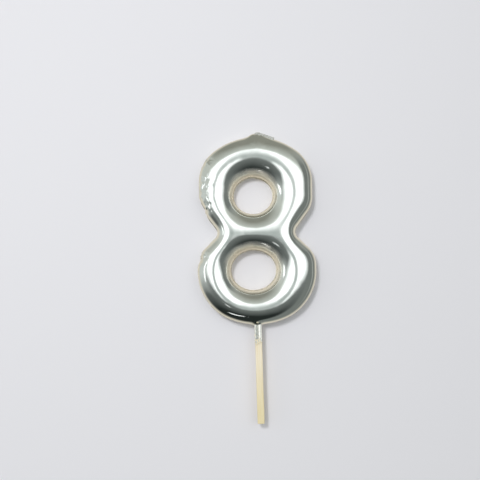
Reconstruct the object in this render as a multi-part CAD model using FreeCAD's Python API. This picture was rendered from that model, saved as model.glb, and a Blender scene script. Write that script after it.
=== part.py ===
"""A birthday candle in the shape of a figure 8, silvered, on a flat wooden pick.

The wax figure has a flat back, a domed front and two holes. Its edge at the back is a thin lip, the
flash of an open mould. A silver lacquer coat covers the figure, the free end of the wick and the top
of the pick. Nothing on it moves.

Frame: the origin is on the pick's axis at the figure's lowest point. +Z is up, +X is the figure's
right, and the front faces -Y. All sizes are in millimetres, and all angles in degrees.
"""
import FreeCAD, Part
import math
import os

os.makedirs("parts", exist_ok=True)

# Heights of the figure, from the bottom up: they add up to its whole height.
bottom_arc = 15.0
lower_hole_height = 17.0
middle_bar = 16.0
upper_hole_height = 15.4
top_arc = 17.8

# Widths of the figure.
lower_loop_width = 51.6
upper_loop_width = 49.4
lower_hole_width = 19.2
upper_hole_width = 16.6
lower_hole_offset = -1.4
upper_hole_offset = -1.1

# Curves of the outline: a wide arc over the top and under the foot, up to this angle on either side,
# then a shoulder arc, which turns upright at the drop or rise from the figure's top or foot.
crown_angle = 37.0
crown_drop = 19.6
foot_angle = 20.0
foot_rise = 23.15

# The sides bend in to the waist, as straight flanks that meet in a small concave arc.
upper_bend_radius = 12.0
upper_bend_below_hole = 0.6
lower_bend_radius = 10.8
lower_bend_above_hole = 2.0
waist_radius = 3.0
waist_width = 34.1
waist_below_hole = 8.19

# Section of the figure, from front to back.
figure_depth = 10.5
dome_radius = 5.6
wall_share = 0.48
lip_width = 0.45
lip_thickness = 0.6

# Silver coats.
coat_thickness = 0.15
stick_coat_thickness = 0.1
stick_coat_length = 8.5
wick_coat_thickness = 0.1

# The pick, set in the bottom arc.
stick_width = 3.0
stick_thickness = 2.2
stick_below_wax = 42.0
stick_in_wax = 11.0
stick_edge_radius = 0.25
stick_to_back = 5.0

# The wick, set in the top arc. Its free end is bent over to the right.
wick_diameter = 1.5
wick_in_wax = 12.0
wick_neck = 0.65
wick_bend_radius = 1.2
wick_droop = 16.5
wick_tail = 7.3

# The mound of wax around the wick's foot.
mound_height = 1.5
mound_top_radius = 1.2
mound_slope = 45.0
mound_sink = 1.7

# Places that follow from the sizes.
figure_height = bottom_arc + lower_hole_height + middle_bar + upper_hole_height + top_arc
lower_hole_z = bottom_arc + lower_hole_height / 2
upper_hole_z = figure_height - top_arc - upper_hole_height / 2
lower_half_width = lower_loop_width / 2
upper_half_width = upper_loop_width / 2
waist_z = figure_height - top_arc - upper_hole_height - waist_below_hole
back_y = stick_to_back
front_y = stick_to_back - figure_depth
wick_bend_z = figure_height + wick_neck


def at(x, z, y=0.0):
    return FreeCAD.Vector(x, y, z)


def unit(angle):
    """The direction in the XZ plane that is angle degrees above +X."""
    return at(math.cos(math.radians(angle)), math.sin(math.radians(angle)))


def arc(centre, radius, start, end):
    middle = (start + end) / 2
    ends = [centre + unit(angle) * radius for angle in (start, middle, end)]
    return Part.Arc(*ends).toShape()


def end_radii(angle, half_width, rise):
    """Radii of the crown or foot arc, and of the shoulder arc that takes it to the upright side."""
    sine = math.sin(math.radians(angle))
    cosine = math.cos(math.radians(angle))
    spread = sine * cosine - (1 - sine) * (1 - cosine)
    end_radius = (half_width * cosine - rise * (1 - sine)) / spread
    shoulder_radius = (rise * sine - half_width * (1 - cosine)) / spread
    return end_radius, shoulder_radius


def flank_angle(bend, bend_radius, waist, side):
    """Angle at which a bend ends, so that a straight flank from there touches the waist's arc.

    side is 1 where the waist lies below the bend, and -1 where it lies above it.
    """
    reach = waist - bend
    towards = math.degrees(math.atan2(reach.z, reach.x))
    between = math.degrees(math.acos((bend_radius + waist_radius) / reach.Length))
    return towards + side * between


def outline(inset):
    """The figure's outline as a wire in the XZ plane, moved inwards by inset."""
    crown_radius, crown_shoulder = end_radii(crown_angle, upper_half_width, crown_drop)
    foot_radius, foot_shoulder = end_radii(foot_angle, lower_half_width, foot_rise)
    crown = at(0, figure_height - crown_radius)
    upper_corner = crown + unit(90 - crown_angle) * (crown_radius - crown_shoulder)
    upper_bend = at(upper_half_width - upper_bend_radius, upper_hole_z - upper_bend_below_hole)
    lower_bend = at(lower_half_width - lower_bend_radius, lower_hole_z + lower_bend_above_hole)
    foot = at(0, foot_radius)
    lower_corner = foot + unit(foot_angle - 90) * (foot_radius - foot_shoulder)
    waist = at(waist_width / 2 + waist_radius, waist_z)
    upper_angle = flank_angle(upper_bend, upper_bend_radius, waist, 1)
    lower_angle = flank_angle(lower_bend, lower_bend_radius, waist, -1)
    arcs = [
        arc(crown, crown_radius - inset, 90, 90 - crown_angle),
        arc(upper_corner, crown_shoulder - inset, 90 - crown_angle, 0),
        arc(upper_bend, upper_bend_radius - inset, 0, upper_angle),
        arc(waist, waist_radius + inset, 180 + upper_angle, 180 + lower_angle),
        arc(lower_bend, lower_bend_radius - inset, lower_angle, 0),
        arc(lower_corner, foot_shoulder - inset, 0, foot_angle - 90),
        arc(foot, foot_radius - inset, foot_angle - 90, -90),
    ]
    right = [arcs[0]]
    for bend in arcs[1:]:
        start = right[-1].valueAt(right[-1].LastParameter)
        end = bend.valueAt(bend.FirstParameter)
        if start.distanceToPoint(end) > 1e-6:
            right.append(Part.makeLine(start, end))
        right.append(bend)
    left = [edge.mirror(at(0, 0), FreeCAD.Vector(1, 0, 0)) for edge in right]
    return Part.Wire(Part.__sortEdges__(right + left))


def hole(centre_x, centre_z, width, height, inset):
    """One hole's edge, an oval that grows as the wax around it is inset."""
    half_width = width / 2 + inset
    half_height = height / 2 + inset
    oval = Part.Ellipse(at(half_width, 0), at(0, half_height), at(0, 0))
    edge = oval.toShape()
    edge.translate(at(centre_x, centre_z))
    return Part.Wire([edge])


def holes(inset):
    return [
        hole(lower_hole_offset, lower_hole_z, lower_hole_width, lower_hole_height, inset),
        hole(upper_hole_offset, upper_hole_z, upper_hole_width, upper_hole_height, inset),
    ]


def plate(edge, from_y, to_y):
    """A flat plate inside one closed edge, from one depth to another."""
    face = Part.Face(edge)
    face.translate(FreeCAD.Vector(0, from_y, 0))
    return face.extrude(FreeCAD.Vector(0, to_y - from_y, 0))


def pierced(edge, gaps, from_y, to_y):
    """A flat plate with a hole through it inside each of the gaps."""
    return plate(edge, from_y, to_y).cut([plate(gap, from_y, to_y) for gap in gaps])


def rounding():
    """Radius of the domed front's edges, held under half of the thinnest wall beside a hole."""
    edge = outline(lip_width)
    wall = min(edge.distToShape(gap)[0] for gap in holes(lip_width))
    return min(dome_radius, wall_share * wall)


def dome(skin):
    """The body in front of the lip, with the edges of its front face rounded."""
    inset = lip_width + skin
    front = front_y + skin
    body = pierced(outline(inset), holes(inset), back_y - skin, front)
    flat = 1e-4
    edges = [edge for edge in body.Edges if edge.BoundBox.YMax - front < flat]
    return body.makeFillet(rounding() - skin, edges)


def mound(skin):
    """The wax drawn up around the wick's foot, a cone that runs down into the top arc."""
    spread = math.tan(math.radians(mound_slope))
    top_z = figure_height + mound_height - skin
    base_z = figure_height - mound_sink
    top_radius = mound_top_radius - skin
    base_radius = top_radius + (top_z - base_z) * spread
    return Part.makeCone(base_radius, top_radius, top_z - base_z, at(0, base_z))


def figure(skin):
    """The whole figure as one solid whose faces lie skin inside its finished surface."""
    lip = pierced(outline(skin), holes(skin), back_y - skin, back_y - lip_thickness + skin)
    return dome(skin).fuse([lip, mound(skin)]).removeSplitter()


def stick_solid(extra, low_z, high_z):
    """A length of the pick, thicker all round by extra."""
    width = stick_width + 2 * extra
    thickness = stick_thickness + 2 * extra
    bar = Part.makeBox(width, thickness, high_z - low_z, at(-width / 2, low_z, -thickness / 2))
    upright = [edge for edge in bar.Edges if edge.BoundBox.ZLength > width]
    return bar.makeFillet(stick_edge_radius + extra, upright)


def wick_solid(extra, foot_z):
    """The wick from foot_z up, round its bend and along its tail, thicker all round by extra."""
    radius = wick_diameter / 2 + extra
    stem = Part.makeCylinder(radius, wick_bend_z - foot_z, at(0, foot_z))
    turn = 90 + wick_droop
    end = Part.Face(Part.Wire([Part.makeCircle(radius, at(0, wick_bend_z))]))
    bend = end.revolve(at(wick_bend_radius, wick_bend_z), FreeCAD.Vector(0, 1, 0), turn)
    tail_foot = at(wick_bend_radius, wick_bend_z) + unit(180 - turn) * wick_bend_radius
    tail = Part.makeCylinder(radius, wick_tail, tail_foot, unit(-wick_droop))
    return stem.fuse([bend, tail]).removeSplitter()


def stick():
    return stick_solid(0, -stick_below_wax, stick_in_wax)


def wick():
    return wick_solid(0, figure_height - wick_in_wax)


def wax_figure():
    return figure(coat_thickness).cut([stick(), wick()])


def silver_coat():
    return figure(0).cut([figure(coat_thickness), stick(), wick()])


def stick_coat():
    sleeve = stick_solid(stick_coat_thickness, -stick_coat_length, bottom_arc / 2)
    return sleeve.cut([figure(0), stick()])


def wick_coat():
    sleeve = wick_solid(wick_coat_thickness, figure_height)
    return sleeve.cut([figure(0), wick()])


for part in (wax_figure, silver_coat, stick, stick_coat, wick, wick_coat):
    solid = part()
    print(part.__name__, len(solid.Solids), solid.isValid(), round(solid.Volume, 2))
    solid.exportStep("parts/" + part.__name__ + ".step")
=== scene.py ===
"""A silvered birthday candle in the shape of a figure 8, on a flat wooden pick.

The figure is a strand of wax with an oval section, bent into an 8 and cast in an open mould: a flat back,
a steep wall, a domed front, and a thin lip of flash around every edge. A mirror-like silver film covers
the figure, the wick's free end and the top of the pick.

Lengths are in metres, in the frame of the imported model: +Z up, the front faces -Y.
"""
import math

import bmesh
import bpy
import numpy as np
from mathutils import Matrix, Vector, noise


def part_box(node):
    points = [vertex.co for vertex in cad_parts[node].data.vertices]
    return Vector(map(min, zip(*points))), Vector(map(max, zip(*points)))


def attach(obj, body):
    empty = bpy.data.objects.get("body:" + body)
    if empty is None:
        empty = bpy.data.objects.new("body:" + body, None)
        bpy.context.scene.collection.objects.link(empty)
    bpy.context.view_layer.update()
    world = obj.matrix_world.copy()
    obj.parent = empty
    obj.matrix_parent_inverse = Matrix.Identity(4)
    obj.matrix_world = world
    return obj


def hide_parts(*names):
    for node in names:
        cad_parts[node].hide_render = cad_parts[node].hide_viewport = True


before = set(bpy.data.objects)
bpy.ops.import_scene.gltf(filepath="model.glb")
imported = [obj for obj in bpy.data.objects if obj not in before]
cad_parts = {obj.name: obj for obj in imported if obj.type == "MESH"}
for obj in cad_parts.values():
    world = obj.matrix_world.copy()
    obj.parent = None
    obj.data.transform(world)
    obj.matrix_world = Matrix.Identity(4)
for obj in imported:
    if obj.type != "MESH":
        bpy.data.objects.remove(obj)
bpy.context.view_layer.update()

MM = 0.001

# Heights of the figure from the bottom up, and its widths.
BOTTOM_ARC = 15.0 * MM
LOWER_HOLE_HEIGHT = 17.0 * MM
MIDDLE_BAR = 16.0 * MM
UPPER_HOLE_HEIGHT = 15.4 * MM
TOP_ARC = 17.8 * MM
LOWER_LOOP_WIDTH = 51.6 * MM
UPPER_LOOP_WIDTH = 49.4 * MM
LOWER_HOLE_WIDTH = 19.2 * MM
UPPER_HOLE_WIDTH = 16.6 * MM
LOWER_HOLE_OFFSET = -1.4 * MM
UPPER_HOLE_OFFSET = -1.1 * MM

# Curves of the outline, with angles in degrees.
CROWN_RADIUS = 29.77 * MM
CROWN_ANGLE = 37.0
FOOT_RADIUS = 32.0 * MM
FOOT_ANGLE = 20.0
UPPER_BEND_RADIUS = 12.0 * MM
UPPER_BEND_ANGLE = 36.5
UPPER_BEND_BELOW_HOLE = 0.6 * MM
LOWER_BEND_RADIUS = 10.8 * MM
LOWER_BEND_ANGLE = 46.0
LOWER_BEND_ABOVE_HOLE = 2.0 * MM
WAIST_RADIUS = 3.0 * MM

# Section of the strand, from the back to the crest of the dome. The crest lies LOWER_HOLE_SHARE or
# UPPER_HOLE_SHARE times as far from that hole as it does from the outline.
LIP_WIDTH = 0.45 * MM
LIP_THICKNESS = 0.6 * MM
LIP_EDGE = 0.12 * MM
WALL_HEIGHT = 4.2 * MM
DOME_HEIGHT = 5.45 * MM
LOWER_HOLE_SHARE = 1.8
UPPER_HOLE_SHARE = 2.2

# The open back, which sinks a little inside its edge, and not quite evenly.
SINK = 0.16 * MM
SINK_RIPPLE = 0.10 * MM
SINK_REACH = 2.5 * MM

# The silver film on the figure. Around each hole it is creamy out to CREAM_INNER times the hole's size,
# and silver again at CREAM_OUTER times, about a centre a little above the hole's own. This cream is
# partly thin film over wax and partly a painted reflection of the pale card.
FILM = 0.12 * MM
FILM_GAP = 0.02 * MM
CREAM_INNER = 1.14
CREAM_OUTER = 1.36
HOLE_CREAM_RISE = 1.2 * MM

# The edge of the flash, which falls short of the mould's edge, and its nicks at (x, z).
LIP_RAGGED = 0.10 * MM
LIP_MOST = 0.36 * MM
NICK_DEPTH = 0.45 * MM
NICK_SIZE = 0.8 * MM
LIP_NICKS = [(-24.6, 53.9), (-23.9, 49.6), (-22.6, 47.2), (-23.6, 30.4), (-24.9, 27.6)]

# Unevenness of the skin: long and short waves all over, and folds and ridges where it is crumpled.
LONG_WAVES = 0.030 * MM
SHORT_WAVES = 0.010 * MM
FOLDS = 0.46 * MM
RIDGES = 0.26 * MM

# Faults of the left flank, in millimetres: crumples as (x, z, size), and dents as (x, z, size, depth).
CRUMPLES = [
    (-20.8, 70.5, 2.2),
    (-21.4, 62.0, 2.6),
    (-23.2, 57.0, 3.2),
    (-23.0, 50.5, 3.0),
    (-23.4, 30.0, 2.6),
]
DENTS = [(-24.0, 50.2, 3.2, 1.2), (-24.6, 28.4, 2.4, 0.8)]

# The pick. It leans by this share of its length, and its cut end and corners are worn.
PICK_WIDTH = 3.0 * MM
PICK_THICKNESS = 2.2 * MM
PICK_IN_WAX = 11.0 * MM
PICK_EDGE = 0.25 * MM
PICK_LEAN = 0.013
PICK_BOW = 0.05 * MM
FIBRE_DEPTH = 0.035 * MM
CUT_END = 0.3 * MM
END_WEAR = 0.10 * MM
CORNER_WEAR = 0.35 * MM
END_ROUGHNESS = 0.12 * MM

# The silver on the top of the pick, which thins where the pick's right edge starts.
PICK_FILM = 0.13 * MM
PICK_SHELL = 0.03 * MM
PICK_SILVER = 7.9 * MM
PICK_SILVER_IN_WAX = 1.0 * MM
PICK_RAGGED = 0.9 * MM
THIN_FROM = 0.30 * MM
THIN_OVER = 0.35 * MM

# The wick, with its droop in degrees, and the mound of wax around its foot.
WICK_RADIUS = 0.72 * MM
WICK_IN_WAX = 12.0 * MM
WICK_NECK = -0.25 * MM
WICK_BEND_RADIUS = 1.2 * MM
WICK_DROOP = 20.0
WICK_TAIL = 7.0 * MM
WICK_PITCH = 3.6 * MM
WICK_FILM = 0.05 * MM
STRAND_SHARE = 0.53
STRAND_STEP = 0.22 * MM
STRAND_SIDES = 12
STRAND_FUZZ = 0.10
MOUND_HEIGHT = 1.35 * MM
MOUND_RADIUS = 3.2 * MM
MOUND_STRETCH = 1.7
BEAD_HEIGHT = 0.75 * MM
BEAD_RADIUS = 2.0 * MM

# Fineness of the meshes. Inside every edge a band of rings follows it, up to this angle of the dome.
SPACING = 0.40 * MM
CELL = 0.48 * MM
CELL_TO_RIM = 0.6 * CELL
NO_DEPTH = 1e-4 * MM
FAR = 8
BAND = 3.0 * MM
BAND_ANGLE = 53
BAND_RINGS = 13
WALL_RINGS = 9

_, coat_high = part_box("silver_coat")
pick_low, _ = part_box("stick")
BACK_Y = coat_high.y
FIGURE_HEIGHT = BOTTOM_ARC + LOWER_HOLE_HEIGHT + MIDDLE_BAR + UPPER_HOLE_HEIGHT + TOP_ARC
LOWER_HOLE_Z = BOTTOM_ARC + LOWER_HOLE_HEIGHT / 2
UPPER_HOLE_Z = FIGURE_HEIGHT - TOP_ARC - UPPER_HOLE_HEIGHT / 2

# The camera looks at the front from close by, with its tilt and roll in degrees. It aims to the left of
# the candle and under its middle, and it sees this far to each side of that point.
CAMERA_TARGET = Vector((-7.1 * MM, 0, 36.6 * MM))
CAMERA_DISTANCE = 0.33
CAMERA_TILT = -1.5
CAMERA_ROLL = -1.0
HALF_VIEW = 102.9 * MM


# ---------------------------------------------------------------- outline

def unit(angle):
    """The direction in the XZ plane that is angle degrees above +X, as (x, z)."""
    return np.array([math.cos(math.radians(angle)), math.sin(math.radians(angle))])


def bend(centre, radius, grow, start, end):
    """Points along an arc up to its last one, and that last one.

    grow changes the radius and not the number of points, so that outlines match point by point.
    """
    steps = max(2, round(math.radians(abs(end - start)) * radius / SPACING))
    angles = np.linspace(start, end, steps, endpoint=False)
    points = [centre + unit(angle) * (radius + grow) for angle in angles]
    return points, centre + unit(end) * (radius + grow)


def waist_centre(upper_bend, lower_bend):
    """Centre of the waist's arc, which touches the upper and the lower flank from outside."""
    upper_out = unit(-UPPER_BEND_ANGLE)
    lower_out = unit(LOWER_BEND_ANGLE)
    reach = [upper_bend @ upper_out + UPPER_BEND_RADIUS + WAIST_RADIUS,
             lower_bend @ lower_out + LOWER_BEND_RADIUS + WAIST_RADIUS]
    return np.linalg.solve(np.array([upper_out, lower_out]), np.array(reach))


def shoulder(end_radius, end_angle, half_width):
    """Radius of the arc from the crown or foot arc to the upright side."""
    lean = math.sin(math.radians(end_angle))
    return (half_width - end_radius * lean) / (1 - lean)


def outline(inset):
    """The figure's outline, moved inwards by inset, as (x, z) points clockwise from the top."""
    upper_half = UPPER_LOOP_WIDTH / 2
    lower_half = LOWER_LOOP_WIDTH / 2
    crown_shoulder = shoulder(CROWN_RADIUS, CROWN_ANGLE, upper_half)
    foot_shoulder = shoulder(FOOT_RADIUS, FOOT_ANGLE, lower_half)
    crown = np.array([0, FIGURE_HEIGHT - CROWN_RADIUS])
    foot = np.array([0, FOOT_RADIUS])
    upper_corner = crown + unit(90 - CROWN_ANGLE) * (CROWN_RADIUS - crown_shoulder)
    lower_corner = foot + unit(FOOT_ANGLE - 90) * (FOOT_RADIUS - foot_shoulder)
    upper_bend = np.array([upper_half - UPPER_BEND_RADIUS, UPPER_HOLE_Z - UPPER_BEND_BELOW_HOLE])
    lower_bend = np.array([lower_half - LOWER_BEND_RADIUS, LOWER_HOLE_Z + LOWER_BEND_ABOVE_HOLE])
    waist = waist_centre(upper_bend, lower_bend)
    bends = [
        bend(crown, CROWN_RADIUS, -inset, 90, 90 - CROWN_ANGLE),
        bend(upper_corner, crown_shoulder, -inset, 90 - CROWN_ANGLE, 0),
        bend(upper_bend, UPPER_BEND_RADIUS, -inset, 0, -UPPER_BEND_ANGLE),
        bend(waist, WAIST_RADIUS, inset, 180 - UPPER_BEND_ANGLE, 180 + LOWER_BEND_ANGLE),
        bend(lower_bend, LOWER_BEND_RADIUS, -inset, LOWER_BEND_ANGLE, 0),
        bend(lower_corner, foot_shoulder, -inset, 0, FOOT_ANGLE - 90),
        bend(foot, FOOT_RADIUS, -inset, FOOT_ANGLE - 90, -90),
    ]
    last = bends[-1][1]
    starts = [points[0] for points, _ in bends[1:]] + [last]
    right = []
    for (points, end), start in zip(bends, starts):
        steps = round(np.linalg.norm(start - end) / SPACING)
        flank = [end + (start - end) * k / steps for k in range(steps)]
        right += points + flank
    right.append(last)
    left = [point * (-1, 1) for point in right[-2:0:-1]]
    return np.array(right + left)


def hole(x, z, width, height, inset):
    """One hole's edge, an oval that grows as the wax around it is inset, counter-clockwise."""
    steps = round(math.pi * (width + height) / 2 / SPACING)
    turns = np.linspace(0, 2 * math.pi, steps, endpoint=False)
    across = x + (width / 2 + inset) * np.sin(-turns)
    return np.stack([across, z + (height / 2 + inset) * np.cos(turns)], axis=1)


def edges_at(inset):
    """The outline and the two holes, with the wax on the right of each, inset into the wax."""
    return [
        outline(inset),
        hole(LOWER_HOLE_OFFSET, LOWER_HOLE_Z, LOWER_HOLE_WIDTH, LOWER_HOLE_HEIGHT, inset),
        hole(UPPER_HOLE_OFFSET, UPPER_HOLE_Z, UPPER_HOLE_WIDTH, UPPER_HOLE_HEIGHT, inset),
    ]


def segments(loops):
    """Starts and ends of every short straight piece of the loops."""
    starts = np.concatenate(loops)
    ends = np.concatenate([np.roll(loop, -1, axis=0) for loop in loops])
    return starts, ends


def inside(points, loops):
    """Whether each point lies in the wax: inside the outline and outside the holes."""
    starts, ends = segments(loops)
    crossings = np.zeros(len(points), int)
    for (x0, z0), (x1, z1) in zip(starts, ends):
        if z0 != z1:
            level = (points[:, 1] >= min(z0, z1)) & (points[:, 1] < max(z0, z1))
            x = x0 + (points[:, 1] - z0) * (x1 - x0) / (z1 - z0)
            crossings += level & (points[:, 0] < x)
    return crossings % 2 == 1


def distance(points, loops):
    """Distance from each point to the nearest corner of the loops."""
    corners = np.concatenate(loops)
    nearest = np.full(len(points), np.inf)
    for corner in corners:
        nearest = np.minimum(nearest, np.hypot(*(points - corner).T))
    return nearest


# ---------------------------------------------------------------- dome

def nearness(points, loop):
    """About one over the distance from each (x, z) point to a closed edge, smooth all over the wax.

    Every point of the edge pulls with its depth over the fourth power of its distance. A long straight
    edge then comes to pi / 2 over its distance squared. A short piece of the edge that is more than FAR
    times its length away is taken as one point, because its exact sum would lose its digits.
    """
    pull = np.zeros(len(points))
    for start, end in zip(loop, np.roll(loop, -1, axis=0)):
        length = np.hypot(*(end - start))
        along = (end - start) / length
        depth = (start - points) @ np.array([-along[1], along[0]])
        depth = np.where(np.abs(depth) < NO_DEPTH, NO_DEPTH, depth)
        from_start = (start - points) @ along
        from_end = from_start + length
        middle = (from_start + from_end) / 2
        reach = depth ** 2 + middle ** 2
        close = [s / (2 * depth * (depth ** 2 + s ** 2)) + np.arctan(s / depth) / (2 * depth ** 2)
                 for s in (from_start, from_end)]
        pull += np.where(reach > (FAR * length) ** 2, depth * length / reach ** 2, close[1] - close[0])
    return np.sqrt(np.clip(pull * 2 / math.pi, 0, None))


def dome(points):
    """Height of the dome over (x, z) points in the wax, as a share of its usual height.

    Between two edges at the distances near and far it is 2 sqrt(near far) / (near + far), half an ellipse.
    Where the loops merge, the third edge comes in the same way.
    """
    outer, lower, upper = [nearness(points, loop) for loop in edges_at(LIP_WIDTH)]
    lower *= LOWER_HOLE_SHARE
    upper *= UPPER_HOLE_SHARE
    pairs = outer * lower + lower * upper + upper * outer
    return 2 * np.sqrt(pairs) / (outer + lower + upper)


# ---------------------------------------------------------------- the figure's mesh

def place(verts, points, y):
    """Moves a ring of vertices to (x, z) points at depth y."""
    for vert, (x, z) in zip(verts, points):
        vert.co = (x, y, z)


def ring_edges(verts):
    pairs = zip(verts, verts[1:] + verts[:1])
    return [edge for a, b in pairs for edge in a.link_edges if edge.other_vert(a) == b]


def next_ring(bm, verts):
    """Extrudes a ring of edges and gives the new ring in the same order."""
    made = set(bmesh.ops.extrude_edge_only(bm, edges=ring_edges(verts))["geom"])
    return [edge.other_vert(vert) for vert in verts for edge in vert.link_edges
            if edge.other_vert(vert) in made]


def fill(bm, rings, loops, y):
    """Closes a flat region between rings with a grid of small squares, joined to them by triangles."""
    half_x = UPPER_LOOP_WIDTH / 2 + 2 * MM
    half_z = FIGURE_HEIGHT / 2 + 1 * MM
    columns = round(2 * half_x / CELL)
    rows = round(2 * half_z / CELL)
    middle = Matrix.Translation((0, y, FIGURE_HEIGHT / 2))
    flat = middle @ Matrix.Rotation(math.radians(90), 4, "X") @ Matrix.Diagonal((half_x, half_z, 1, 1))
    made = bmesh.ops.create_grid(bm, x_segments=columns, y_segments=rows, size=1, matrix=flat)
    grid = made["verts"]
    points = np.array([(vert.co.x, vert.co.z) for vert in grid])
    kept = inside(points, loops) & (distance(points, loops) > CELL_TO_RIM)
    bmesh.ops.delete(bm, geom=[vert for vert, keep in zip(grid, kept) if not keep], context="VERTS")
    grid = [vert for vert in grid if vert.is_valid]
    pinched = [0]
    while pinched:
        pinched = [vert for vert in grid if sum(edge.is_boundary for edge in vert.link_edges) > 2
                   or not vert.link_faces]
        bmesh.ops.delete(bm, geom=pinched, context="VERTS")
        grid = [vert for vert in grid if vert.is_valid]
    border = list({edge for vert in grid for edge in vert.link_edges if edge.is_boundary})
    rims = [edge for ring in rings for edge in ring_edges(ring)]
    bmesh.ops.triangle_fill(bm, use_beauty=True, use_dissolve=False, edges=border + rims)
    return grid


def uneven(point, scale, seed):
    """Smooth unevenness between about -1 and 1, with bumps about scale across."""
    return noise.noise(Vector((point[0] / scale + seed, point[1] / scale, point[2] / scale - seed)))


def near_spot(x, z, spot_x, spot_z, size):
    """1 at a spot, falling to 0 around it."""
    return math.exp(-((x - spot_x) ** 2 + (z - spot_z) ** 2) / size ** 2)


def lip_inset(x, z):
    """How far the flash falls short of the mould's edge at (x, z)."""
    ragged = LIP_RAGGED * (1 + uneven((x, 0, z), 2.2 * MM, 3))
    nicks = sum(NICK_DEPTH * near_spot(x, z, a * MM, b * MM, NICK_SIZE) for a, b in LIP_NICKS)
    return min(LIP_MOST, ragged + nicks)


def ragged_lip(loops, inner):
    """The outermost edge of the flash: each point drawn towards its partner on the wall."""
    drawn = []
    for loop, wall in zip(loops, inner):
        shares = np.array([lip_inset(x, z) for x, z in loop]) / LIP_WIDTH
        drawn.append(loop + (wall - loop) * shares[:, None])
    return drawn


def figure_mesh():
    """The figure's surface before its faults: a back, then lip, wall and dome in rings towards the front.

    Each level holds the rings' edges and their depth, with None for those on the dome.
    """
    bm = bmesh.new()
    wall_edge = edges_at(LIP_WIDTH)
    flash = ragged_lip(edges_at(0), wall_edge)
    soft_flash = [loop + (wall - loop) * LIP_EDGE / LIP_WIDTH for loop, wall in zip(flash, wall_edge)]
    levels = [
        (soft_flash, BACK_Y),
        (flash, BACK_Y - LIP_EDGE),
        (flash, BACK_Y - LIP_THICKNESS + LIP_EDGE),
        (soft_flash, BACK_Y - LIP_THICKNESS),
    ]
    foot = BACK_Y - LIP_THICKNESS
    top = BACK_Y - WALL_HEIGHT
    levels += [(wall_edge, foot + (top - foot) * k / WALL_RINGS) for k in range(WALL_RINGS + 1)]
    band_angle = math.radians(BAND_ANGLE)
    half_strand = BAND / (1 - math.cos(band_angle))
    for k in range(1, BAND_RINGS + 1):
        inset = half_strand * (1 - math.cos(band_angle * k / BAND_RINGS))
        levels.append((edges_at(LIP_WIDTH + inset), None))

    rings = []
    for loop in soft_flash:
        ring = [*bmesh.ops.create_circle(bm, segments=len(loop), radius=1)["verts"]]
        place(ring, loop, BACK_Y)
        rings.append(ring)
    first = rings
    domed = []
    for loops, y in levels[1:]:
        rings = [next_ring(bm, ring) for ring in rings]
        for ring, loop in zip(rings, loops):
            place(ring, loop, top if y is None else y)
            if y is None:
                domed += ring
    domed += fill(bm, rings, levels[-1][0], top)
    back = fill(bm, first, soft_flash, BACK_Y)

    heights = dome(np.array([(vert.co.x, vert.co.z) for vert in domed]))
    for vert, height in zip(domed, heights):
        vert.co.y = top - DOME_HEIGHT * height
    settle_back(back)
    bmesh.ops.recalc_face_normals(bm, faces=bm.faces)
    return bm


def settle_back(verts):
    """The open side of the mould: the wax sinks a little as it sets, and not quite evenly."""
    loops = edges_at(0)
    depths = distance(np.array([(vert.co.x, vert.co.z) for vert in verts]), loops)
    for vert, depth in zip(verts, depths):
        sunk = 1 - math.exp(-(depth / SINK_REACH) ** 2)
        ripple = uneven(vert.co, 7 * MM, 11) + 0.3 * uneven(vert.co, 2.5 * MM, 12)
        vert.co.y -= sunk * (SINK + SINK_RIPPLE * ripple)


# ---------------------------------------------------------------- unevenness

def ridges(point, scale, seed):
    """Sharp little folds, 0 to 1, about scale apart."""
    return 1 - min(1.0, 3 * abs(uneven(point, scale, seed)))


def swelling(point):
    """How far the skin of the figure stands off its ideal surface at a point."""
    waves = LONG_WAVES * uneven(point, 6.5 * MM, 1) + SHORT_WAVES * uneven(point, 2.6 * MM, 2)
    crumpled = sum(near_spot(point.x, point.z, x * MM, z * MM, size * MM) for x, z, size in CRUMPLES)
    folds = FOLDS * uneven(point, 1.9 * MM, 4) - RIDGES * ridges(point, 1.7 * MM, 5)
    return waves + min(1.0, crumpled) * folds


def dent(point):
    """How far the left flank is pushed in at a point, where the figure came out of the mould badly."""
    return sum(depth * MM * near_spot(point.x, point.z, x * MM, z * MM, size * MM)
               for x, z, size, depth in DENTS)


def raise_mound(bm):
    """The lumpy wax drawn up around the wick's foot, and a bead of it around the pick."""
    for vert in bm.verts:
        x, y, z = vert.co
        if z > FIGURE_HEIGHT - 7 * MM:
            reach = math.hypot(x / (MOUND_STRETCH if x > 0 else 1.0), y) / MOUND_RADIUS
            raised = math.exp(-reach ** 2.5)
            vert.co.z += MOUND_HEIGHT * raised * (1 + 0.22 * uneven(vert.co, 0.9 * MM, 7))
            vert.co.y += 0.35 * MM * raised * uneven(vert.co, 1.1 * MM, 14)
        elif z < 3 * MM:
            reach = math.hypot(x + 0.35 * MM, y) / BEAD_RADIUS
            vert.co.z -= BEAD_HEIGHT * math.exp(-reach ** 2.5)


def work_surface(bm):
    """Gives the surface its faults: waves, crumples, dents, the mound and the bead."""
    bm.normal_update()
    front = [vert for vert in bm.verts if vert.co.y < BACK_Y - LIP_THICKNESS / 2]
    moves = [vert.normal * swelling(vert.co) for vert in front]
    for vert, move in zip(front, moves):
        vert.co += move
    for vert in bm.verts:
        vert.co.x += dent(vert.co)
    raise_mound(bm)


# ---------------------------------------------------------------- pieces

def piece(name, bm):
    """Makes an object of the finished mesh, at the origin, and lets go of the bmesh."""
    mesh = bpy.data.meshes.new(name)
    bm.to_mesh(mesh)
    bm.free()
    mesh.shade_smooth()
    made = bpy.data.objects.new(name, mesh)
    bpy.context.scene.collection.objects.link(made)
    return made


def finish_piece(made, cad_node, material):
    made.data.materials.append(material)
    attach(made, "root")
    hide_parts(cad_node)


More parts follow.
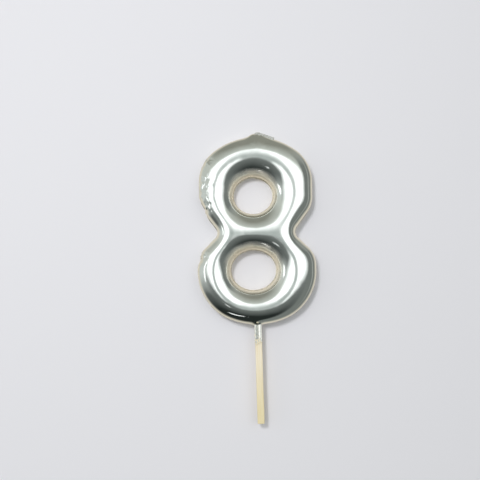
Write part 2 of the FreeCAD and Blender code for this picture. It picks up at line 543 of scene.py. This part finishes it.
def silver_film_and_wax():
    """The coat, as a thin closed shell, and the wax that fills it."""
    bm = figure_mesh()
    work_surface(bm)
    wax = bm.copy()
    wax.normal_update()
    for vert in wax.verts:
        vert.co -= vert.normal * (FILM + FILM_GAP)
    coat = piece("silver_film", bm)
    shell = coat.modifiers.new("film", "SOLIDIFY")
    shell.thickness = FILM
    shell.offset = -1
    return coat, piece("wax_body", wax)


def wick_path(along):
    """Centre and sideways direction of the wick, at a length along it from the figure's top, as (x, z)."""
    turn = math.radians(90 + WICK_DROOP)
    if along < WICK_NECK:
        return np.array([0, FIGURE_HEIGHT + along]), np.array([1, 0])
    centre = np.array([WICK_BEND_RADIUS, FIGURE_HEIGHT + WICK_NECK])
    swept = min(turn, (along - WICK_NECK) / WICK_BEND_RADIUS)
    inwards = np.array([math.cos(swept), -math.sin(swept)])
    forwards = np.array([math.sin(swept), math.cos(swept)])
    rest = max(0, along - WICK_NECK - turn * WICK_BEND_RADIUS)
    return centre - inwards * WICK_BEND_RADIUS + forwards * rest, inwards


def wick_end():
    return WICK_NECK + math.radians(90 + WICK_DROOP) * WICK_BEND_RADIUS + WICK_TAIL


def face_outwards(bm):
    bmesh.ops.recalc_face_normals(bm, faces=bm.faces)
    if bm.calc_volume(signed=True) < 0:
        bmesh.ops.reverse_faces(bm, faces=bm.faces)


def twisted_strand(share, start, end, swell):
    """One of the wick's strands, share of a turn round its axis, from start to end along the wick."""
    bm = bmesh.new()
    radius = WICK_RADIUS * STRAND_SHARE
    off_axis = WICK_RADIUS - radius
    steps = round((end - start) / STRAND_STEP)
    first_turn = 2 * math.pi * (share + start / WICK_PITCH)
    foot = Matrix.Translation((off_axis * math.cos(first_turn), off_axis * math.sin(first_turn), start))
    ring = bmesh.ops.create_circle(bm, segments=STRAND_SIDES, radius=radius + swell, matrix=foot)["verts"]
    rim = list({edge for vert in ring for edge in vert.link_edges})
    rise = (0, 0, (end - start) / steps)
    turn = 2 * math.pi * (end - start) / WICK_PITCH
    swept = bmesh.ops.spin(bm, geom=rim, cent=(0, 0, 0), axis=(0, 0, 1), dvec=rise,
                           angle=turn, steps=steps, use_merge=False)
    last = [edge for edge in swept["geom_last"] if isinstance(edge, bmesh.types.BMEdge)]
    bmesh.ops.contextual_create(bm, geom=rim)
    bmesh.ops.contextual_create(bm, geom=last)
    for vert in bm.verts:
        across, aside, along = vert.co
        fuzz = 1 + STRAND_FUZZ * uneven(vert.co, 0.55 * MM, 8)
        middle, inwards = wick_path(along)
        spot = middle - inwards * across * fuzz
        vert.co = (spot[0], aside * fuzz, spot[1])
    face_outwards(bm)
    return bm


def twisted_strands(start, end, swell):
    """Three strands twisted together along the wick's path, each thicker by swell."""
    together = bmesh.new()
    for k in range(3):
        strand = twisted_strand(k / 3, start, end, swell)
        mesh = bpy.data.meshes.new("strand")
        strand.to_mesh(mesh)
        strand.free()
        together.from_mesh(mesh)
        bpy.data.meshes.remove(mesh)
    return together


def span(edge, axis):
    """How far an edge reaches along an axis."""
    return abs(edge.verts[0].co[axis] - edge.verts[1].co[axis])


def pick_bar(low, high, rings):
    """The pick as a square-cut bar along Z, from low to high, with its four long edges rounded."""
    bm = bmesh.new()
    size = Matrix.Diagonal((PICK_WIDTH, PICK_THICKNESS, high - low, 1))
    bmesh.ops.create_cube(bm, size=1, matrix=Matrix.Translation((0, 0, (high + low) / 2)) @ size)
    upright = [edge for edge in bm.edges if span(edge, 2) > (high - low) / 2]
    bmesh.ops.bevel(bm, geom=upright, offset=PICK_EDGE, affect="EDGES", segments=4, profile=0.5,
                    material=-1)
    cuts_along = {0: 9, 1: 6}
    for axis, cuts in cuts_along.items():
        flat = [edge for edge in bm.edges if span(edge, axis) > PICK_THICKNESS / 2
                and span(edge, 2) < PICK_EDGE]
        bmesh.ops.subdivide_edges(bm, edges=flat, cuts=cuts, use_grid_fill=True)
    upright = [edge for edge in bm.edges if span(edge, 2) > (high - low) / 2]
    bmesh.ops.subdivide_edges(bm, edges=upright, cuts=rings)
    return bm


def lean(point):
    """How far the pick stands to the right at a point, because it is not set quite square."""
    return PICK_LEAN * max(0, -point.z)


def wooden_pick():
    """A sawn pick with fibres along it, slightly crushed corners and a rough cut end."""
    bm = pick_bar(pick_low.z, PICK_IN_WAX, 110)
    bm.normal_update()
    for vert in bm.verts:
        x, y, z = vert.co
        fibres = noise.noise(Vector((x / (0.28 * MM), y / (0.28 * MM), z / (9 * MM))))
        bow = PICK_BOW * noise.noise(Vector((0.3, 0.7, z / (14 * MM))))
        vert.co -= vert.normal * (FIBRE_DEPTH * (1 + fibres))
        vert.co.x += lean(vert.co) + bow
        if z < pick_low.z + CUT_END:
            crushed = abs(x) / PICK_WIDTH + abs(y) / PICK_THICKNESS
            rough = END_ROUGHNESS * uneven(vert.co, 0.5 * MM, 9)
            vert.co.z += END_WEAR + CORNER_WEAR * crushed * crushed + rough
    return piece("wooden_pick", bm)


def pick_film():
    """The silver on the top of the pick, with a ragged lower end, thinner towards the right edge."""
    bm = pick_bar(-PICK_SILVER, PICK_SILVER_IN_WAX, 34)
    caps = [face for face in bm.faces if abs(face.normal.z) > 0.9]
    bmesh.ops.delete(bm, geom=caps, context="FACES_ONLY")
    bm.normal_update()
    for vert in bm.verts:
        share = max(0, -vert.co.z / PICK_SILVER)
        ragged = PICK_RAGGED * uneven(Vector((vert.co.x, vert.co.y, 0)), 0.8 * MM, 10) * share ** 3
        thinner = min(1, max(0, (vert.co.x - THIN_FROM) / THIN_OVER))
        height = PICK_FILM * (1 - 0.6 * thinner) * (1 - 0.3 * share)
        vert.co += vert.normal * (height + 0.008 * MM * uneven(vert.co, 0.9 * MM, 13))
        vert.co.z += ragged
        vert.co.x += lean(vert.co)
    made = piece("pick_silver", bm)
    shell = made.modifiers.new("film", "SOLIDIFY")
    shell.thickness = PICK_SHELL
    shell.offset = -1
    return made


# ---------------------------------------------------------------- materials

def node(owner, kind, inputs=None, **settings):
    """Adds a node to a material or world. An input is a value, or the socket that it is linked to."""
    tree = owner.node_tree
    made = tree.nodes.new("ShaderNode" + kind)
    for name, value in settings.items():
        setattr(made, name, value)
    for name, value in (inputs or {}).items():
        if isinstance(value, bpy.types.NodeSocket):
            tree.links.new(value, made.inputs[name])
        else:
            made.inputs[name].default_value = value
    return made


def new_material(name):
    material = bpy.data.materials.new(name)
    material.use_nodes = True
    return material, material.node_tree.nodes["Principled BSDF"]


def plug(owner, source, target):
    owner.node_tree.links.new(source, target)


def speckle(material, stretch, scale, detail=3.0, rough=0.5):
    """Noise on the object's own coordinates, in units of a millimetre."""
    place_at = node(material, "TexCoord").outputs["Object"]
    spread = node(material, "Mapping", {"Vector": place_at, "Scale": [1 / MM * s for s in stretch]})
    return node(material, "TexNoise", {"Vector": spread.outputs["Vector"], "Scale": scale, "Detail": detail,
                                       "Roughness": rough}).outputs["Fac"]


def between(owner, value, low, high, to_low=0.0, to_high=1.0):
    """A value carried over from low..high to to_low..to_high, and held there outside that range."""
    return node(owner, "MapRange", {"Value": value, "From Min": low, "From Max": high,
                                    "To Min": to_low, "To Max": to_high}).outputs["Result"]


def blend_colours(owner, share, first, second):
    mix = node(owner, "Mix", {0: share, 6: first, 7: second}, data_type="RGBA")
    return mix.outputs[2]


def coordinate(material, axis):
    """The object's own coordinate along one axis, in millimetres."""
    split = node(material, "SeparateXYZ", {"Vector": node(material, "TexCoord").outputs["Object"]})
    return times(material, split.outputs[axis], 1 / MM)


def calculate(owner, operation, first, second=0.0):
    return node(owner, "Math", {0: first, 1: second}, operation=operation).outputs[0]


def times(owner, first, second):
    return calculate(owner, "MULTIPLY", first, second)


def beside_hole(material, x, z, centre_x, centre_z, width, height):
    """1 at a hole's edge and 0 a few millimetres away, with a wider reach over the hole than under it."""
    raised = centre_z + HOLE_CREAM_RISE
    across = calculate(material, "SUBTRACT", x, centre_x / MM)
    up = calculate(material, "SUBTRACT", z, raised / MM)
    place_at = node(material, "CombineXYZ", {0: times(material, across, 2 * MM / width),
                                             1: times(material, up, 2 * MM / height)}).outputs[0]
    reach = node(material, "VectorMath", {0: place_at}, operation="LENGTH").outputs["Value"]
    return between(material, reach, CREAM_OUTER, CREAM_INNER)


def mirror_silver():
    """Silver lacquer over wax: a mirror with a fine metal grain, creamy at the back and holes as thin
    lacquer and a painted reflection of the card.
    """
    material, shader = new_material("mirror_silver")
    grain = speckle(material, (1, 1, 1), 3.2, 2.0)
    clouds = speckle(material, (1, 1, 1), 0.22, 3.0)
    silver = blend_colours(material, clouds, (0.72, 0.76, 0.74, 1), (0.86, 0.88, 0.87, 1))
    x, y, z = (coordinate(material, axis) for axis in "XYZ")
    lower = beside_hole(material, x, z, LOWER_HOLE_OFFSET, LOWER_HOLE_Z,
                        LOWER_HOLE_WIDTH, LOWER_HOLE_HEIGHT)
    upper = beside_hole(material, x, z, UPPER_HOLE_OFFSET, UPPER_HOLE_Z,
                        UPPER_HOLE_WIDTH, UPPER_HOLE_HEIGHT)
    holes = calculate(material, "MAXIMUM", lower, upper)
    # Painted reflection of the pale card, together with thin lacquer over wax: cream on the wall near the
    # back and around the holes.
    thin = calculate(material, "MAXIMUM", between(material, y, 3.4, 4.7), holes)
    patchy_film_and_card_reflection = node(material, "Math", {0: thin, 1: between(material, clouds, 0.3, 0.7, 0.5, 1.15)},
                  operation="MULTIPLY", use_clamp=True).outputs[0]
    creamy = blend_colours(material, patchy_film_and_card_reflection, silver, (0.90, 0.83, 0.70, 1))
    plug(material, creamy, shader.inputs["Base Color"])
    plug(material, between(material, patchy_film_and_card_reflection, 0, 1, 1.0, 0.4), shader.inputs["Metallic"])
    rough = between(material, clouds, 0.3, 0.7, 0.07, 0.12)
    duller = calculate(material, "ADD", rough, between(material, patchy_film_and_card_reflection, 0, 1, 0, 0.18))
    plug(material, duller, shader.inputs["Roughness"])
    bump = node(material, "Bump", {"Height": grain, "Strength": 0.06, "Distance": 0.03 * MM})
    plug(material, bump.outputs["Normal"], shader.inputs["Normal"])
    return material


def cast_wax():
    """Cream paraffin wax, slightly cloudy."""
    material, shader = new_material("cast_wax")
    clouds = speckle(material, (1, 1, 1), 0.3, 4.0)
    colour = blend_colours(material, clouds, (0.80, 0.74, 0.62, 1), (0.92, 0.88, 0.78, 1))
    plug(material, colour, shader.inputs["Base Color"])
    plug(material, between(material, clouds, 0.3, 0.7, 0.35, 0.5), shader.inputs["Roughness"])
    shader.inputs["Subsurface Weight"].default_value = 0.2
    shader.inputs["Subsurface Scale"].default_value = 1.5 * MM
    return material


def sawn_birch():
    """Pale wood with fine fibres along the pick, yellower towards its free end."""
    material, shader = new_material("sawn_birch")
    fibres = speckle(material, (3.2, 3.2, 0.10), 1.0, 5.0, 0.6)
    streaks = speckle(material, (0.9, 0.9, 0.03), 1.0, 2.0)
    low_end = between(material, coordinate(material, "Z"), -14, -36)
    pale = blend_colours(material, low_end, (0.97, 0.88, 0.71, 1), (0.91, 0.81, 0.54, 1))
    dark = blend_colours(material, low_end, (0.86, 0.70, 0.44, 1), (0.76, 0.60, 0.30, 1))
    streaked = between(material, streaks, 0.3, 0.7, 0.3, 1.0)
    share = times(material, between(material, fibres, 0.35, 0.75), streaked)
    plug(material, blend_colours(material, share, pale, dark), shader.inputs["Base Color"])
    plug(material, between(material, fibres, 0.3, 0.7, 0.55, 0.75), shader.inputs["Roughness"])
    bump = node(material, "Bump", {"Height": fibres, "Strength": 0.35, "Distance": 0.05 * MM})
    plug(material, bump.outputs["Normal"], shader.inputs["Normal"])
    return material


def silver_on_wood():
    """Thin silver overspray: bright along the edges, with bare wood in spots that widen downwards."""
    material, shader = new_material("silver_on_wood")
    spots = speckle(material, (1, 1, 0.6), 1.5, 4.0, 0.6)
    down = between(material, coordinate(material, "Z"), -3.5, -9.0, 0.36, 0.64)
    share = between(material, calculate(material, "SUBTRACT", down, spots), -0.05, 0.05)
    colour = blend_colours(material, share, (0.74, 0.74, 0.70, 1), (0.90, 0.80, 0.60, 1))
    plug(material, colour, shader.inputs["Base Color"])
    plug(material, between(material, share, 0, 1, 1.0, 0.1), shader.inputs["Metallic"])
    plug(material, between(material, share, 0, 1, 0.13, 0.6), shader.inputs["Roughness"])
    bump = node(material, "Bump", {"Height": spots, "Strength": 0.35, "Distance": 0.06 * MM})
    plug(material, bump.outputs["Normal"], shader.inputs["Normal"])
    return material


def silver_on_cotton():
    """Silver on the twisted strands, rougher in the grooves, and darker there as painted shade."""
    material, shader = new_material("silver_on_cotton")
    threads = speckle(material, (1, 1, 1), 2.6, 4.0, 0.6)
    # Painted shade: the colour darkens where the thread bump sinks into its grooves.
    colour = blend_colours(material, between(material, threads, 0.35, 0.7),
                           (0.50, 0.50, 0.47, 1), (0.97, 0.98, 0.97, 1))
    plug(material, colour, shader.inputs["Base Color"])
    plug(material, between(material, threads, 0.3, 0.7, 0.6, 0.25), shader.inputs["Metallic"])
    plug(material, between(material, threads, 0.3, 0.7, 0.35, 0.16), shader.inputs["Roughness"])
    bump = node(material, "Bump", {"Height": threads, "Strength": 0.5, "Distance": 0.06 * MM})
    plug(material, bump.outputs["Normal"], shader.inputs["Normal"])
    return material


def wick_cotton():
    """Off-white cotton, waxed, and darker in the grooves between its threads."""
    material, shader = new_material("wick_cotton")
    threads = speckle(material, (1, 1, 0.4), 4.0, 4.0, 0.6)
    plug(material, blend_colours(material, threads, (0.62, 0.58, 0.50, 1), (0.90, 0.87, 0.80, 1)),
         shader.inputs["Base Color"])
    shader.inputs["Roughness"].default_value = 0.85
    shader.inputs["Sheen Weight"].default_value = 0.3
    bump = node(material, "Bump", {"Height": threads, "Strength": 0.5, "Distance": 0.05 * MM})
    plug(material, bump.outputs["Normal"], shader.inputs["Normal"])
    return material


coat, wax = silver_film_and_wax()
finish_piece(coat, "silver_coat", mirror_silver())
finish_piece(wax, "wax_figure", cast_wax())

wick = piece("twisted_wick", twisted_strands(-WICK_IN_WAX, wick_end(), 0))
finish_piece(wick, "wick", wick_cotton())
wick_skin = piece("wick_silver", twisted_strands(0.1 * MM, wick_end() - 0.12 * MM, WICK_FILM))
finish_piece(wick_skin, "wick_coat", silver_on_cotton())

pick = wooden_pick()
finish_piece(pick, "stick", sawn_birch())
pick_skin = pick_film()
finish_piece(pick_skin, "stick_coat", silver_on_wood())


# ---------------------------------------------------------------- backdrop, light and camera

def pale_backdrop():
    """A pale sheet right behind the flat back. It can be looked through from behind."""
    bm = bmesh.new()
    behind = Matrix.Translation((0, BACK_Y + 0.4 * MM, FIGURE_HEIGHT / 2))
    upright = behind @ Matrix.Rotation(math.radians(90), 4, "X")
    bmesh.ops.create_grid(bm, x_segments=1, y_segments=1, size=0.6, matrix=upright)
    sheet = piece("backdrop", bm)
    material, shader = new_material("pale_card")
    shader.inputs["Base Color"].default_value = (0.83, 0.82, 0.87, 1)
    shader.inputs["Roughness"].default_value = 0.9
    shader.inputs["Specular IOR Level"].default_value = 0.1
    clear = node(material, "BsdfTransparent")
    side = node(material, "NewGeometry").outputs["Backfacing"]
    mix = node(material, "MixShader", {0: side, 1: shader.outputs["BSDF"], 2: clear.outputs["BSDF"]})
    plug(material, mix.outputs["Shader"], material.node_tree.nodes["Material Output"].inputs["Surface"])
    sheet.data.materials.append(material)
    sheet.visible_glossy = False
    sheet.visible_diffuse = False
    sheet.visible_shadow = False


def lamp(name, place_at, width, height, radiance):
    """An oval white lamp that looks at the middle of the figure."""
    light = bpy.data.lights.new(name, "AREA")
    light.shape = "ELLIPSE"
    light.size = width
    light.size_y = height
    light.energy = radiance * math.pi * math.pi / 4 * width * height
    made = bpy.data.objects.new(name, light)
    bpy.context.scene.collection.objects.link(made)
    made.location = place_at
    towards = Vector((0, 0, FIGURE_HEIGHT / 2)) - made.location
    made.rotation_euler = towards.to_track_quat("-Z", "Y").to_euler()
    made.visible_camera = False
    return made


def degrees(world, angle):
    return times(world, angle, 180 / math.pi)


def soft_patch(world, azimuth, elevation, across, up, softness):
    """1 inside a rounded patch of directions and 0 outside. across and up are its middle and half size."""
    shares = []
    for angle, (middle, half) in ((azimuth, across), (elevation, up)):
        off = calculate(world, "SUBTRACT", angle, middle)
        share = calculate(world, "ABSOLUTE", times(world, off, 1 / half))
        shares.append(calculate(world, "POWER", share, 3.0))
    reach = calculate(world, "POWER", calculate(world, "ADD", *shares), 1 / 3)
    return between(world, reach, 1 + softness, 1 - softness)


def room():
    """What the silver mirrors: a large soft white lamp over the camera, in a dim room lighter on the left.

    Angles are in degrees: azimuth to the right of straight out in front, and elevation above level. The
    half behind the candle is the pale cream of its card. The camera itself sees only a pale backdrop.
    """
    world = bpy.data.worlds.new("room")
    bpy.context.scene.world = world
    world.use_nodes = True
    background = world.node_tree.nodes["Background"]
    split = node(world, "SeparateXYZ", {"Vector": node(world, "TexCoord").outputs["Generated"]})
    x, y, z = (split.outputs[k] for k in range(3))
    azimuth = degrees(world, calculate(world, "ARCTAN2", x, times(world, y, -1.0)))
    elevation = degrees(world, calculate(world, "ARCSINE", z))

    dark_floor = times(world, between(world, elevation, -12, -50), between(world, azimuth, 62, 28))
    view = blend_colours(world, dark_floor, (0.19, 0.205, 0.195, 1), (0.022, 0.027, 0.025, 1))
    left_wall = times(world, between(world, azimuth, -30, -60), between(world, elevation, -28, -4))
    view = blend_colours(world, left_wall, view, (0.66, 0.69, 0.66, 1))
    over_the_lamp = between(world, elevation, 8, 22)
    view = blend_colours(world, over_the_lamp, view, (0.60, 0.62, 0.57, 1))
    ceiling = between(world, elevation, 28, 60)
    view = blend_colours(world, ceiling, view, (0.29, 0.29, 0.245, 1))
    right_wall = times(world, between(world, azimuth, 40, 52), between(world, elevation, 55, 30))
    view = blend_colours(world, right_wall, view, (0.20, 0.215, 0.20, 1))
    right_strip = soft_patch(world, azimuth, elevation, (86, 5), (5, 38), 0.5)
    view = blend_colours(world, right_strip, view, (0.40, 0.41, 0.385, 1))

    wide_lamp = soft_patch(world, azimuth, elevation, (1.5, 44), (8.5, 18), 0.2)
    middle_gap = soft_patch(world, azimuth, elevation, (-0.5, 6.0), (-15, 40), 0.4)
    dimmed = times(world, middle_gap, between(world, elevation, 24, 2, 0.35, 0.85))
    lamp_light = blend_colours(world, dimmed, (1.55, 1.58, 1.56, 1), (0.32, 0.36, 0.34, 1))
    view = blend_colours(world, wide_lamp, view, lamp_light)

    behind = between(world, y, 0.25, 0.7)
    view = blend_colours(world, behind, view, (0.74, 0.68, 0.57, 1))
    seen = node(world, "LightPath").outputs["Is Camera Ray"]
    view = blend_colours(world, seen, view, (0.79, 0.78, 0.82, 1))
    plug(world, view, background.inputs["Color"])


def camera():
    """The scene's camera, with nothing out of focus."""
    view = bpy.data.cameras.new("camera")
    eye = bpy.data.objects.new("camera", view)
    bpy.context.scene.collection.objects.link(eye)
    tilt = math.radians(CAMERA_TILT)
    eye.location = CAMERA_TARGET + CAMERA_DISTANCE * Vector((0, -math.cos(tilt), math.sin(tilt)))
    turn = (CAMERA_TARGET - eye.location).to_track_quat("-Z", "Y").to_matrix()
    roll = Matrix.Rotation(math.radians(CAMERA_ROLL), 3, "Z")
    eye.rotation_euler = (turn @ roll).to_euler()
    view.sensor_width = 36
    view.angle = 2 * math.atan(HALF_VIEW / CAMERA_DISTANCE)
    bpy.context.scene.camera = eye


pale_backdrop()
key = lamp("key_lamp", (-0.16, -0.55, 0.23), 0.11, 0.11, 46.0)
key.visible_glossy = False
lamp("left_lamp", (-0.43, -0.25, 0.02), 0.10, 0.22, 1.15)
lamp("low_lamp", (-0.13, -0.43, -0.19), 0.05, 0.04, 0.8)
lamp("floor_lamp", (-0.17, -0.24, -0.46), 0.20, 0.03, 2.2)
room()
camera()
bpy.context.scene.view_settings.view_transform = "Standard"
